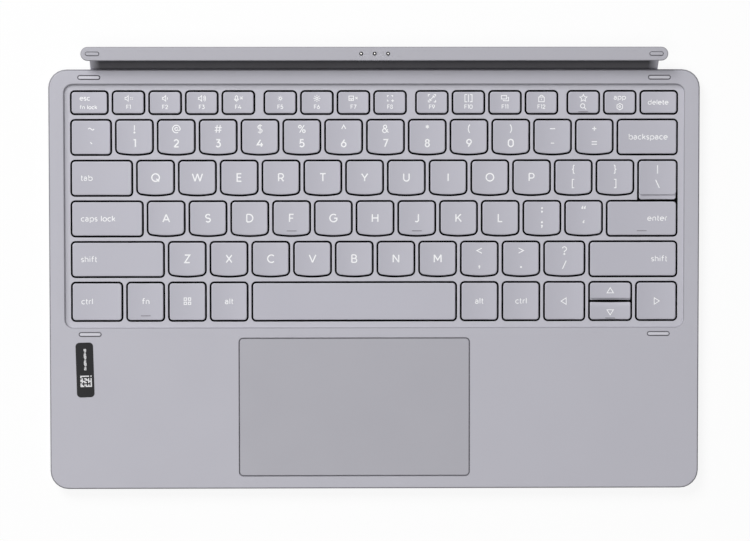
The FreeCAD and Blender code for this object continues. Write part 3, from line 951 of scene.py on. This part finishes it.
glyphs = {
    "A": [line((0, 0), (0.44, 1), (0.88, 0)), line((0.14, 0.3), (0.74, 0.3))],
    "B": [stem, bowl(0.34, 0.53, 1), bowl(0.38, 0, 0.52)],
    "C": [bow(0.5, 0.5, 0.5, 48, 312)],
    "D": [stem, bowl(0.3, 0, 1)],
    "E": [line((0.56, 1), (0, 1), (0, 0), (0.56, 0)), line((0, 0.52), (0.5, 0.52))],
    "F": [line((0.54, 1), (0, 1), (0, 0)), line((0, 0.48), (0.48, 0.48))],
    "G": [line(*curve(0.5, 0.5, 0.5, 48, 330), (0.93, 0.48), (0.58, 0.48))],
    "H": [stem, line((0.74, 0), (0.74, 1)), line((0, 0.5), (0.74, 0.5))],
    "I": [stem],
    "J": [line((0.44, 1), *curve(0.2, 0.24, 0.24, 0, -140))],
    "K": [stem, line((0.66, 1), (0, 0.34)), line((0.24, 0.58), (0.7, 0))],
    "L": [line((0, 1), (0, 0), (0.52, 0))],
    "M": [line((0, 0), (0, 1), (0.45, 0.3), (0.9, 1), (0.9, 0))],
    "N": [line((0, 0), (0, 1), (0.74, 0), (0.74, 1))],
    "O": [round_loop(0.5, 0.5, 0.5)],
    "P": [stem, bowl(0.34, 0.38, 1)],
    "Q": [round_loop(0.5, 0.5, 0.5), line((0.6, 0.34), (0.98, -0.02))],
    "R": [stem, bowl(0.34, 0.4, 1), line((0.34, 0.4), (0.66, 0))],
    "S": placed([curl], wide=1.2),
    "T": [line((0, 1), (0.74, 1)), line((0.37, 1), (0.37, 0))],
    "U": [line((0, 1), *curve(0.36, 0.36, 0.36, 180, 360), (0.72, 1))],
    "V": [line((0, 1), (0.43, 0), (0.86, 1))],
    "W": [line((0, 1), (0.33, 0), (0.66, 1), (0.99, 0), (1.32, 1))],
    "X": [line((0, 1), (0.74, 0)), line((0, 0), (0.74, 1))],
    "Y": [line((0, 1), (0.4, 0.42), (0.8, 1)), line((0.4, 0.42), (0.4, 0))],
    "Z": [line((0, 1), (0.66, 1), (0, 0), (0.66, 0))],
    "0": [loop(*curve(0.34, 0.66, 0.34, 0, 180), *curve(0.34, 0.34, 0.34, 180, 360))],
    "1": [line((0, 1), (0.26, 1), (0.26, 0))],
    "2": [line(*curve(0.29, 0.71, 0.29, 165, -40), (0, 0), (0.62, 0))],
    "3": [line((0.02, 1), (0.56, 1), (0.27, 0.62), *curve(0.28, 0.31, 0.31, 75, -150))],
    "4": [line((0.46, 1), (0, 0.28), (0.8, 0.28)), line((0.58, 0.58), (0.58, 0))],
    "5": [line((0.54, 1), (0.12, 1), (0.07, 0.55), *curve(0.28, 0.31, 0.31, 115, -150))],
    "6": [round_loop(0.31, 0.31, 0.31), line((0.05, 0.46), (0.42, 1))],
    "7": [line((0, 1), (0.6, 1), (0.2, 0))],
    "8": [round_loop(0.29, 0.77, 0.23), round_loop(0.29, 0.27, 0.27)],
    "9": [round_loop(0.31, 0.69, 0.31), line((0.57, 0.54), (0.2, 0))],
    "!": [line((0, 1), (0, 0.3)), point(0, 0.04)],
    "@": [round_loop(0.5, 0.5, 0.2),
          line((0.7, 0.7), (0.7, 0.44), *arc(0.84, 0.43, 0.14, 190, 340),
               *arc(0.5, 0.5, 0.5, -5, 300, round_steps))],
    "#": [line((0.34, 1), (0.2, 0)), line((0.74, 1), (0.6, 0)),
          line((0.04, 0.68), (0.94, 0.68)), line((0, 0.32), (0.9, 0.32))],
    "$": placed([curl, line((0.3, 1.12), (0.3, -0.12))], wide=1.1),
    "%": [round_loop(0.18, 0.8, 0.18), round_loop(0.7, 0.2, 0.18), line((0.74, 1), (0.14, 0))],
    "^": [line((0, 0.5), (0.27, 1), (0.54, 0.5))],
    "&": [round_loop(0.34, 0.78, 0.21), line((0.22, 0.62), (0.78, 0)),
          line(*curve(0.28, 0.27, 0.27, 100, 325), (0.68, 0.44))],
    "*": spokes(0.25, 0.78, 0.0, 0.24, 90, 6),
    "(": parenthesis,
    ")": mirrored(parenthesis),
    "–": [line((0, 0.5), (0.7, 0.5))],
    "-": [line((0, 0.48), (0.44, 0.48))],
    "+": [line((0, 0.5), (0.56, 0.5)), line((0.28, 0.22), (0.28, 0.78))],
    "=": [line((0, 0.33), (0.7, 0.33)), line((0, 0.66), (0.7, 0.66))],
    "~": [wave(0.8, 0.5, 0.12)],
    "`": [line((0, 0.66), (0.24, 0.42))],
    "{": brace,
    "}": mirrored(brace),
    "[": bracket,
    "]": mirrored(bracket),
    "|": [line((0, 1.06), (0, -0.06))],
    "\\": [line((0, 1.05), (0.5, -0.05))],
    "/": [line((0, -0.05), (0.5, 1.05))],
    ":": [point(0, 0.28), point(0, 0.76)],
    ";": [point(0.04, 0.76), point(0.04, 0.3), line((0.1, 0.28), (0, 0.0))],
    "“": quote_mark(0) + quote_mark(0.32),
    "‘": quote_mark(0),
    "<": angle,
    ">": mirrored(angle),
    ",": [point(0.06, 0.3), line((0.12, 0.28), (0.02, 0.0))],
    ".": [point(0, 0.2)],
    "?": [line(*curve(0.28, 0.72, 0.28, 165, -70), (0.28, 0.38), (0.28, 0.28)), point(0.28, 0.04)],
    "a": [line(*arc(0.26, 0.42, 0.26, 150, 0), (0.52, 0)),
          line((0.52, 0.39), *arc(0.2, 0.195, 0.195, 90, 270), (0.34, 0), (0.52, 0.13))],
    "b": [stem, small_round],
    "c": [bow(0.34, 0.34, 0.34, 50, 310)],
    "d": [small_round, line((0.68, 1), (0.68, 0))],
    "e": [line((0.02, 0.36), (0.68, 0.36), *curve(0.34, 0.34, 0.34, 14, 310))],
    "f": [line((0.16, 0), (0.16, 0.76), *arc(0.38, 0.79, 0.22, 165, 75)), line((0, 0.66), (0.42, 0.66))],
    "h": [stem, small_arch],
    "i": [short_stem, dot(0, 0.94)],
    "k": [stem, line((0.48, 0.66), (0, 0.26)), line((0.16, 0.4), (0.52, 0))],
    "l": [stem],
    "n": [short_stem, small_arch],
    "o": [small_round],
    "p": [line((0, 0.68), (0, -0.3)), small_round],
    "r": [short_stem, bow(0.22, 0.45, 0.22, 180, 65)],
    "s": placed([line(*arc(0.2, 0.51, 0.17, 30, 270), *arc(0.2, 0.17, 0.17, 60, -150))], wide=1.2),
    "t": [line((0.12, 0.94), (0.12, 0.2), *arc(0.28, 0.16, 0.16, 180, 285)), line((0, 0.66), (0.32, 0.66))],
}
left_stems = "bhiklnprBDEFHIKLMNPR"
right_stems = "adhilnHIMN1"


def even_runs(stroke):
    """Parts of an open stroke between its sharpest corners."""
    if stroke.closed:
        return [stroke]
    points = [Vector(point) for point in stroke.points]
    cuts = [0]
    for index in range(1, len(points) - 1):
        before, here, after = points[index - 1:index + 2]
        if (here - before).normalized().dot((after - here).normalized()) < sharp_turn:
            cuts.append(index)
    cuts.append(len(points) - 1)
    return [Stroke(stroke.points[start:end + 1], False) for start, end in zip(cuts, cuts[1:])]


def ribbon(mesh, stroke, width, level, material=print_place, rise=print_rise):
    """Raised line of even width along a stroke, with mitred corners."""
    points = [Vector(point) for point in stroke.points]
    count = len(points)
    rows = []
    for index, here in enumerate(points):
        runs = []
        if stroke.closed or index > 0:
            runs.append((here - points[index - 1]).normalized())
        if stroke.closed or index < count - 1:
            runs.append((points[(index + 1) % count] - here).normalized())
        along = (runs[0] + runs[-1]).normalized()
        reach = width / 2 / max(mitre_limit, along.dot(runs[0]))
        across = Vector((-along.y, along.x)) * reach
        left, right = here + across, here - across
        section = ((left, rise), (right, rise), (right, -rise), (left, -rise))
        rows.append([mesh.verts.new((p.x, p.y, level(p.x, p.y) + lift)) for p, lift in section])
    ends = rows[1:] + rows[:1] if stroke.closed else rows[1:]
    for start, end in zip(rows, ends):
        skin(mesh, start, end, material)
    if not stroke.closed:
        lid(mesh, rows[0][::-1], material)
        lid(mesh, rows[-1], material)


def print_strokes(mesh, strokes, place, scale, width, level):
    for stroke in placed(strokes, *place, scale, scale):
        for run in even_runs(stroke):
            ribbon(mesh, run, width, level)


def text_strokes(text):
    """Strokes of a line of text that starts at zero, and its length."""
    strokes = []
    end = 0.0
    before = ""
    for character in text:
        if character == " ":
            end += word_space
            continue
        glyph = glyphs[character]
        xs = [x for stroke in glyph for x, y in stroke.points]
        if before:
            end += letter_gap + stem_gap * ((before in right_stems) + (character in left_stems))
        strokes += placed(glyph, end - min(xs))
        end += max(xs) - min(xs)
        before = character
    return strokes, end


def print_text(mesh, text, place, align, height, width, level):
    """Lettering on a surface, with the middle of its capitals at the place."""
    x, y = place
    strokes, length = text_strokes(text)
    scale = height - width
    length *= scale
    starts = {"left": x + width / 2, "middle": x - length / 2, "right": x - width / 2 - length}
    print_strokes(mesh, strokes, (starts[align], y - scale / 2), scale, width, level)


# Icons, drawn in millimetres round their middle

def cross(x, y, reach):
    return spokes(x, y, 0.0, reach * math.sqrt(2), 45, 4)


def speaker(x):
    half = [(-1.0, 0.45), (-0.4, 0.45), (0.45, 1.25)]
    return [loop(*[(x + px, py) for px, py in half], *[(x + px, -py) for px, py in reversed(half)])]


def star(outer, inner, count):
    points = []
    for step in range(count):
        turn = math.tau * step / count
        points.append((-outer * math.sin(turn), outer * math.cos(turn)))
        turn += math.pi / count
        points.append((-inner * math.sin(turn), inner * math.cos(turn)))
    return loop(*points)


def corner_marks(reach, length):
    short = reach - length
    sides = ((-1, -1), (-1, 1), (1, 1), (1, -1))
    return [line((x * short, y * reach), (x * reach, y * reach), (x * reach, y * short)) for x, y in sides]


def triangle(turn):
    """Triangle that points along a direction in degrees."""
    lean = Matrix.Rotation(math.radians(turn), 2)
    points = ((1.46, 0), (-0.86, 1.46), (-0.86, -1.46))
    return [loop(*[tuple(lean @ Vector(point)) for point in points])]


half_frame = line((-0.6, 1.6), (-1.6, 1.6), (-1.6, -1.6), (-0.6, -1.6))

icons = {
    "mute": speaker(-0.55) + cross(1.4, 0, 0.5),
    "quiet": speaker(-0.2) + [bow(0.1, 0, 0.95, -35, 35)],
    "loud": speaker(-0.5) + [bow(-0.3, 0, 1.35, -40, 40), bow(-0.3, 0, 2.0, -40, 40)],
    "microphone": [loop(*arc(-0.85, 0.65, 0.5, 0, 180), *arc(-0.85, -0.1, 0.5, 180, 360)),
                   bow(-0.85, -0.1, 0.95, 180, 360),
                   line((-0.85, -1.05), (-0.85, -1.45))] + cross(1.3, 0.2, 0.55),
    "dim": [round_loop(0, 0, 0.55)] + spokes(0, 0, 0.95, 1.15, 0, 8),
    "bright": [round_loop(0, 0, 0.5)] + spokes(0, 0, 0.9, 1.55, 0, 8),
    "pad_off": [box_loop(-2.05, 0.0, -1.0, 1.0), line((-2.05, -0.2), (0.0, -0.2)),
                line((-1.0, -0.2), (-1.0, -1.0))] + cross(1.35, 0.1, 0.5),
    "snip": corner_marks(1.2, 0.6)[:3] + [line((1.15, -1.7), (1.15, -0.5)),
                                          line((0.55, -1.1), (1.75, -1.1))],
    "expand": corner_marks(1.65, 0.85) + [line((-0.9, -0.9), (0.9, 0.9)),
                                          line((0.2, 1.0), (1.0, 1.0), (1.0, 0.2)),
                                          line((-0.2, -1.0), (-1.0, -1.0), (-1.0, -0.2))],
    "split": [half_frame, line((0, 1.75), (0, -1.75))] + mirrored([half_frame]),
    "two_frames": [box_loop(-1.6, 0.7, -0.35, 1.2),
                   line((-0.7, -0.8), (-0.7, -1.15), (1.6, -1.15), (1.6, 0.35), (1.15, 0.35))],
    "lock": [box_loop(-1.25, 1.25, -1.6, 0.5), bow(0, 0.5, 0.8, 0, 180), line((0, -0.2), (0, -0.85))],
    "star": [star(1.7, 0.8, 5)],
    "search": [round_loop(-0.3, 0.35, 0.95), line((0.4, -0.35), (1.3, -1.3))],
    "gear": [loop(*arc(0, 0, 1.45, 30, 390, 6)[:-1]), round_loop(0, 0, 0.42)],
    "tiles": [box_loop(x - 0.55, x + 0.55, y - 0.55, y + 0.55)
              for x in (-0.95, 0.95) for y in (-0.95, 0.95)],
    "left": triangle(180),
    "right": triangle(0),
    "up": triangle(90),
    "down": triangle(270),
}


# Legends

function_icons = ("mute", "quiet", "loud", "microphone", "dim", "bright", "pad_off", "snip",
                  "expand", "split", "two_frames", "lock")
pairs = {digit: symbol + digit for digit, symbol in zip("1234567890", "!@#$%^&*()")}
pairs.update({"minus": "–-", "equal": "+=", "grave": "~`", "open_bracket": "{[", "close_bracket": "}]",
              "backslash": "|\\", "semicolon": ":;", "quote": "“‘", "comma": "<,", "period": ">.",
              "slash": "?/"})
words = {
    "left": {"tab": "tab", "caps_lock": "caps lock", "left_shift": "shift", "left_control": "ctrl"},
    "middle": {"fn": "fn", "left_alt": "alt", "right_alt": "alt", "right_control": "ctrl"},
    "right": {"backspace": "backspace", "enter": "enter", "right_shift": "shift"},
}
marked_keys = ("f", "j", "enter", "fn", "f13", "down")


def print_legend(mesh, key):
    """Everything printed on one cap."""
    name = key.name.removeprefix("key_")
    depth = key.rear - key.front - key.lip
    middle = (key.left + key.right) / 2
    level = surface(key)

    def write(text, share, align="middle", height=word_height, width=word_width, margin=word_margin):
        x = {"left": key.left + margin, "middle": middle, "right": key.right - margin}[align]
        print_text(mesh, text, (x, key.rear - share * depth), align, height, width, level)

    def draw(icon, share):
        print_strokes(mesh, icons[icon], (middle, key.rear - share * depth), 1.0, icon_width, level)

    for align, row in words.items():
        if name in row:
            write(row[name], word_line, align)
    small_word = word_height * small_word_share
    if name in pairs:
        upper, lower = pairs[name]
        lower_width = digit_width if name.isdigit() else symbol_width
        write(upper, upper_line, height=symbol_height, width=symbol_width)
        write(lower, lower_line, height=symbol_height, width=lower_width)
    elif name == "delete":
        write(name, word_line, "right", small_word, margin=escape_margin)
    elif name == "escape":
        write("esc", escape_line, "left", small_word, margin=escape_margin)
        write("fn lock", lock_line, "left", word_height * lock_word_share, label_width, escape_margin)
    elif name == "f13":
        draw("star", icon_line)
        draw("search", label_line)
    elif name == "f14":
        write("app", app_line, height=small_word)
        draw("gear", label_line)
    elif name[0] == "f" and name[1:].isdigit():
        draw(function_icons[int(name[1:]) - 1], icon_line)
        write(name.upper(), label_line, height=label_height, width=label_width)
    elif name == "apps":
        draw("tiles", word_line)
    elif name in arrow_lines:
        draw(name, arrow_lines[name])
    elif len(name) == 1:
        write(name.upper(), letter_line, height=letter_height, width=letter_width)
    if name in marked_keys:
        y = key.front + (mark_inset if depth > shallow_depth else shallow_mark_inset)
        mark = line((middle - mark_length / 2, y), (middle + mark_length / 2, y))
        ribbon(mesh, mark, mark_width, level, mark_place, mark_rise)


def add_cap(mesh, key):
    """Cap with its lower lip, where it has one, and its legend."""
    if key.lip:
        ledge = key._replace(left=key.left + seat_clearance, right=key.right - seat_clearance,
                             rear=key.front + key.lip + ledge_overlap, rear_radius=slit_radius)
        cap_body(mesh, ledge, cap_top - lip_drop)
    cap_body(mesh, key._replace(front=key.front + key.lip), cap_top)
    print_legend(mesh, key)


cap_materials = [cap_paint, legend_paint, mark_paint, dark_film]


def moving_caps():
    for key in moving_keys:
        mesh = bmesh.new()
        add_cap(mesh, key)
        name = key.name.replace("key_", "cap_")
        finish_piece(name, mesh, cap_materials, key.name, [key.name])


def add_dome(mesh, key):
    """Spring dome under the middle of a cap."""
    x = (key.left + key.right) / 2
    y = (key.front + key.rear) / 2
    foot = min(dome_foot, (key.rear - key.front) / 2 - key_ring)
    lean = foot * (1 - dome_crest / dome_foot)
    shoulder = lean * dome_shoulder_lean
    levels = [(0, sheet_top), (shoulder, sheet_top + dome_shoulder),
              (lean - shoulder, cap_bottom - dome_shoulder), (lean, cap_bottom)]
    solid(mesh, circle(x, y, foot, dome_steps), levels, dark_place)


def fixed_caps(name, groups, node):
    """Keys that share one solid: caps, their domes and the sheet that carries them."""
    mesh = bmesh.new()
    for keys in groups:
        sides = (min(key.left for key in keys) - sheet_grow, max(key.right for key in keys) + sheet_grow,
                 min(key.front for key in keys) - sheet_grow, max(key.rear for key in keys) + sheet_grow)
        sheet = round_rectangle(sides, sheet_radius)
        solid(mesh, sheet, [(0, membrane_top), (0, sheet_top)], dark_place)
        for key in keys:
            add_dome(mesh, key)
            add_cap(mesh, key)
    finish_piece(name, mesh, cap_materials, "slab", [node])


# Slab

def bumper_places():
    low, high = corners("deck_bumpers")
    xs = (low.x + bumper_length / 2, high.x - bumper_length / 2)
    ys = (low.y + bumper_width / 2, high.y - bumper_width / 2)
    return [(x, y) for y in ys for x in xs]


def bumper_outline(x, y, clearance=0.0):
    length = bumper_length - 2 * (bumper_inset + clearance)
    return pill(x, y, length, bumper_width - 2 * clearance)


def touchpad_outline(grow):
    sides = (pad_low.x - grow, pad_high.x + grow, pad_low.y - grow, pad_high.y + grow)
    return round_rectangle(sides, touchpad_radius + grow)


def top_case():
    """Deck and walls, with the key well, the touchpad's window and the bumpers' pockets."""
    mesh = bmesh.new()
    outline = round_rectangle(slab_sides, slab_radius)
    levels = [(slab_wall, deck_under), (slab_wall, parting), (parting_chamfer, parting),
              (0, parting + parting_chamfer)]
    inner, outer = stack(mesh, outline, levels + round_over(slab_edge, slab_top))
    well_levels = hole_levels(deck_under, well_lip, slab_top)
    well = stack(mesh, round_rectangle(well_sides, well_radius), well_levels, wall_place)
    window_levels = hole_levels(deck_under, window_lip, slab_top)
    window = stack(mesh, touchpad_outline(touchpad_groove), window_levels)
    pockets = [pocket(mesh, bumper_outline(*place), pocket_depth, pocket_lip, slab_top, pocket_place)
               for place in bumper_places()]
    fill(mesh, [outer, well[1], window[1]] + pockets)
    fill(mesh, [inner, well[0], window[0]])
    finish_piece("deck_shell", mesh, [shell_paint, rim_paint, groove_paint], "slab", ["top_case"])


def bottom_cover():
    """Shallow tray with a rounded lower edge."""
    mesh = bmesh.new()
    outline = round_rectangle(slab_sides, slab_radius)
    levels = round_under(base_edge, 0.0)
    levels += [(0, parting - parting_chamfer), (parting_chamfer, parting),
               (slab_wall, parting), (slab_wall, base_floor)]
    solid(mesh, outline, levels)
    finish_piece("base_shell", mesh, [shell_paint], "slab", ["bottom_cover"])


def key_web():
    """Flat web with an opening round each key."""
    mesh = bmesh.new()
    named = {key.name: key for key in all_keys}
    stacked = named["up"]._replace(front=named["down"].front, front_radius=cap_radius)
    tall, wide = named["key_backslash"], named["key_enter"]
    shared = ("up", "down", "key_backslash", "key_enter")
    outlines = [opening(key) for key in all_keys if key.name not in shared]
    outlines += [opening(stacked), corner_opening(tall, wide)]
    sides = (grid_low.x, grid_high.x, grid_low.y, grid_high.y)
    rim = round_rectangle(sides, well_radius + grid_flange)
    lower, upper = stack(mesh, rim, [(0, grid_low.z), (0, grid_high.z)])
    lowers, uppers = holes_with_painted_shade(mesh, outlines, grid_low.z, opening_lip, grid_high.z)
    fill(mesh, [upper] + uppers)
    fill(mesh, [lower] + lowers)
    finish_piece("key_web", mesh, [web_paint, dark_film], "slab", ["key_grid"])


def deck_pads():
    mesh = bmesh.new()
    bottom = slab_top - pocket_depth
    top = corners("deck_bumpers")[1].z
    for place in bumper_places():
        shape = bumper_outline(*place, pocket_clearance)
        solid(mesh, shape, [(0, bottom)] + round_over(bumper_edge, top))
    finish_piece("deck_pads", mesh, [bumper_rubber], "slab", ["deck_bumpers"])


def touchpad():
    mesh = bmesh.new()
    levels = [(0, pad_low.z)] + round_over(touchpad_edge, pad_high.z)
    solid(mesh, touchpad_outline(0.0), levels)
    finish_piece("touch_plate", mesh, [touch_glass], "touchpad", ["touchpad_plate"])


def cell_is_filled(row, column):
    """Plain pattern that spells nothing, with a broken border."""
    last = code_cells - 1
    border = row in (0, last) or column in (0, last)
    picked = (row * row + 3 * column + row * column) % 5 in (0, 2, 3)
    return picked or (border and (row + column) % 3)


def sticker():
    """Film label with a row of plain marks and a block of cells."""
    mesh = bmesh.new()
    low, high = corners("label")
    sides = (-sticker_width / 2, sticker_width / 2, -sticker_length / 2, sticker_length / 2)
    levels = [(0, low.z)] + round_over(sticker_edge, high.z, sticker_edge_steps)
    solid(mesh, round_rectangle(sides, sticker_radius), levels)

    def level(x, y):
        return high.z

    def stamp(strokes, width):
        for stroke in strokes:
            ribbon(mesh, stroke, width, level, rise=sticker_print_rise)

    near = sticker_line_x - sticker_line_height / 2
    far = sticker_line_x + sticker_line_height / 2
    for index in range(sticker_line_count):
        start = sticker_line_start - index * sticker_line_pitch
        end = start - sticker_line_pitch * sticker_mark_share
        shapes = ([box_loop(near, far, end, start)],
                  [line((far, end), (near, end), (near, start), (far, start))],
                  [line((near, start), (far, start)), line((near, end), (far, end))],
                  [line((near, start), (far, start), (sticker_line_x, end))])
        stamp(shapes[index * sticker_mark_step % len(shapes)], sticker_stroke)
    for row in range(code_cells):
        for column in range(code_cells):
            if cell_is_filled(row, column):
                x = code_center[0] + (column - code_cells / 2) * code_cell
                y = code_center[1] + (row - code_cells / 2 + 0.5) * code_cell
                stamp([line((x, y), (x + code_cell - code_gap, y))], code_cell - code_gap)
    middle = (low + high) / 2
    turn = Matrix.Translation((middle.x, middle.y, 0)) @ Matrix.Rotation(sticker_turn, 4, "Z")
    bmesh.ops.transform(mesh, matrix=turn, verts=mesh.verts)
    finish_piece("film_label", mesh, [sticker_film, sticker_print], "slab", ["label"])


# Folding strip

def strip_piece(name, middle_line, nodes):
    """Band of fabric along a line of (y, z) points, with its long ends rounded."""
    mesh = bmesh.new()
    half = strip_thickness / 2
    outline = arc(strip_low.x + half, 0, half, 90, 270, strip_end_steps)
    outline += arc(strip_high.x - half, 0, half, -90, 90, strip_end_steps)
    last = len(middle_line) - 1
    rings = []
    for index, (y, z) in enumerate(middle_line):
        before = middle_line[max(0, index - 1)]
        after = middle_line[min(last, index + 1)]
        along = Vector((after[0] - before[0], after[1] - before[1])).normalized()
        rings.append([mesh.verts.new((x, y - along.y * rise, z + along.x * rise)) for x, rise in outline])
    for first, second in zip(rings, rings[1:]):
        skin(mesh, first, second)
    lid(mesh, rings[0][::-1])
    lid(mesh, rings[-1])
    return finish_piece(name, mesh, [strip_fabric], None, nodes)


def folding_strip():
    """Fabric that leaves the slab's rear wall, rises to the bar and turns under it."""
    rear = slab_sides[3]
    slab_fold = (rear + strip_clearance, strip_axis_height)
    bar_fold = (bar_low.y, bar_low.z - bar_lift)
    middle = part_way(slab_fold, bar_fold, 1 / 2)
    root = [(rear + seat_clearance, slab_fold[1] - root_drop), (slab_fold[0] - root_lead, slab_fold[1])]
    lower = root + [slab_fold] + between(slab_fold, middle, strip_steps) + [middle]
    tip = (bar_fold[0] + tip_reach, bar_low.z - seat_clearance)
    upper = [middle] + between(middle, bar_fold, strip_steps) + [bar_fold, tip]
    piece = strip_piece("strip_lower", lower, ["hinge_strip"])
    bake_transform(piece)
    piece = strip_piece("strip_upper", upper, ["hinge_strip"])
    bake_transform(piece)


# Docking bar

def bar_body():
    mesh = bmesh.new()
    outline = round_rectangle(bar_sides, bar_radius)
    levels = round_under(bar_edge, bar_low.z)
    levels += [(0, bar_high.z), (bar_wall, bar_high.z), (bar_wall, bar_low.z + bar_floor)]
    solid(mesh, outline, levels)
    finish_piece("bar_body", mesh, [bar_paint], "docking_bar", ["bar_housing"])


contact_sides = ("left", "middle", "right")


def contact_outline(side, radius):
    low, high = corners("contact_pin_" + side)
    return circle((low.x + high.x) / 2, bar_middle, radius)


def bar_face():
    """Docking plate with the contacts' holes and two locating pips in fine grooves."""
    mesh = bmesh.new()
    dock_top = locator_top - locator_height
    levels = [(0, bar_high.z)] + round_over(dock_edge, dock_top)
    under, outer = stack(mesh, round_rectangle(bar_sides, bar_radius), levels)
    holes = [contact_outline(side, contact_hole) for side in contact_sides]
    unders, mouths = holes_with_painted_shade(mesh, holes, bar_high.z, contact_lip, dock_top)
    reach = bar_high.x - locator_inset
    for x in (-reach, reach):
        pip = pill(x, bar_middle, locator_length, locator_width)
        groove = pill(x, bar_middle, locator_length + 2 * locator_groove, locator_width + 2 * locator_groove)
        mouths.append(pocket(mesh, groove, groove_depth, groove_lip, dock_top, wall_place))
        solid(mesh, pip, [(0, dock_top - groove_depth)] + round_over(locator_edge, locator_top))
    fill(mesh, [outer] + mouths)
    fill(mesh, [under] + unders)
    finish_piece("bar_face", mesh, [bar_paint, groove_paint], "docking_bar", ["dock_plate"])


def contact_pins():
    """Round-nosed pins on a shoulder that stays under the docking plate."""
    neck = contact_shoulder - contact_radius
    shoulder_top = bar_high.z - seat_clearance
    shoulder_low = bar_high.z - contact_shoulder_height
    # The pins' stems carry painted shade
    pin_materials = [pin_metal, groove_paint]
    for side in contact_sides:
        mesh = bmesh.new()
        node = "contact_pin_" + side
        low, high = corners(node)
        outline = contact_outline(side, contact_shoulder)
        stem_levels = [(neck, low.z), (neck, shoulder_low), (0, shoulder_low),
                       (0, shoulder_top), (neck, shoulder_top)]
        nose = round_over(contact_radius * nose_share, high.z, contact_tip_steps)
        nose_levels = [(neck, shoulder_top)] + [(neck + inset, height) for inset, height in nose]
        lid(mesh, stack(mesh, outline, stem_levels, wall_place)[0][::-1], wall_place)
        lid(mesh, stack(mesh, outline, nose_levels)[1])
        finish_piece("pin_" + side, mesh, pin_materials, "contact_" + side, [node])


# Hidden layers keep their solids

def dress_inner_nodes():
    looks = {
        "support_plate": plate_steel, "membrane": dark_film, "dome_sheet": dark_film,
        "main_board": board_mask, "touchpad_board": pad_board_mask, "bar_magnets": magnet_nickel,
    }
    for node, material in looks.items():
        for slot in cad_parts[node].material_slots:
            slot.material = material


# Studio

def seen_directly(tree):
    """1 for rays from the camera, a mirror or glass."""
    path = tree.nodes.new("ShaderNodeLightPath").outputs
    seen = calculate(tree, "MAXIMUM", path["Is Camera Ray"], path["Is Glossy Ray"])
    return calculate(tree, "MAXIMUM", seen, path["Is Transmission Ray"])


def blend_surface(tree, share, first, second, output):
    blend = add_node(tree, "MixShader", {0: share, 1: first.outputs[0], 2: second.outputs[0]})
    tree.links.new(blend.outputs[0], output.inputs["Surface"])


def floor_material():
    """White floor that keeps a soft shadow."""
    material = bpy.data.materials.new("floor_white")
    material.use_nodes = True
    tree = material.node_tree
    shader = tree.nodes["Principled BSDF"]
    shader.inputs["Base Color"].default_value = grey(floor_white)
    shader.inputs["Roughness"].default_value = 1.0
    shader.inputs["Specular IOR Level"].default_value = 0.0
    glow = add_node(tree, "Emission", {"Strength": 1.0})
    share = calculate(tree, "MULTIPLY", seen_directly(tree), floor_glow)
    blend_surface(tree, share, shader, glow, tree.nodes["Material Output"])
    return material


def studio_floor():
    mesh = bmesh.new()
    bmesh.ops.create_grid(mesh, x_segments=floor_cells, y_segments=floor_cells, size=floor_size)
    data = bpy.data.meshes.new("floor")
    mesh.to_mesh(data)
    mesh.free()
    data.materials.append(floor_material())
    floor = add_object("floor", data)
    floor.location.z = -floor_drop * MM


def world_light():
    """Even light from all sides, seen as white."""
    world = bpy.data.worlds.new("studio")
    bpy.context.scene.world = world
    world.use_nodes = True
    tree = world.node_tree
    soft = tree.nodes["Background"]
    soft.inputs["Color"].default_value = grey(1)
    soft.inputs["Strength"].default_value = ambient
    white = add_node(tree, "Background", {"Color": grey(1)})
    blend_surface(tree, seen_directly(tree), soft, white, tree.nodes["World Output"])


def area_light(name, place, size, power):
    light = bpy.data.lights.new(name, "AREA")
    light.shape = "RECTANGLE"
    light.size, light.size_y = size
    light.energy = power
    lamp = add_object(name, light)
    lamp.location = place
    lamp.rotation_euler = (-Vector(place)).to_track_quat("-Z", "Y").to_euler()


def camera():
    data = bpy.data.cameras.new("camera")
    data.sensor_fit = "HORIZONTAL"
    data.sensor_width = sensor_width
    data.lens = focal_pixels * sensor_width / image_width
    data.clip_start = clip_start
    data.clip_end = clip_end
    eye = add_object("camera", data)
    eye.location = Vector(camera_place) * MM
    eye.rotation_euler = [math.radians(turn) for turn in camera_turn]
    bpy.context.scene.camera = eye


# Assembly

top_case()
bottom_cover()
key_web()
moving_caps()
fixed_caps("upper_caps", [upper_keys], "upper_row_keys")
fixed_caps("modifier_caps", [left_modifiers, right_modifiers], "modifier_keys")
deck_pads()
touchpad()
sticker()
folding_strip()
bar_body()
bar_face()
contact_pins()
dress_inner_nodes()
studio_floor()
world_light()
for name, lamp in lamps.items():
    area_light(name, **lamp)
camera()

bpy.context.scene.view_settings.view_transform = "Standard"
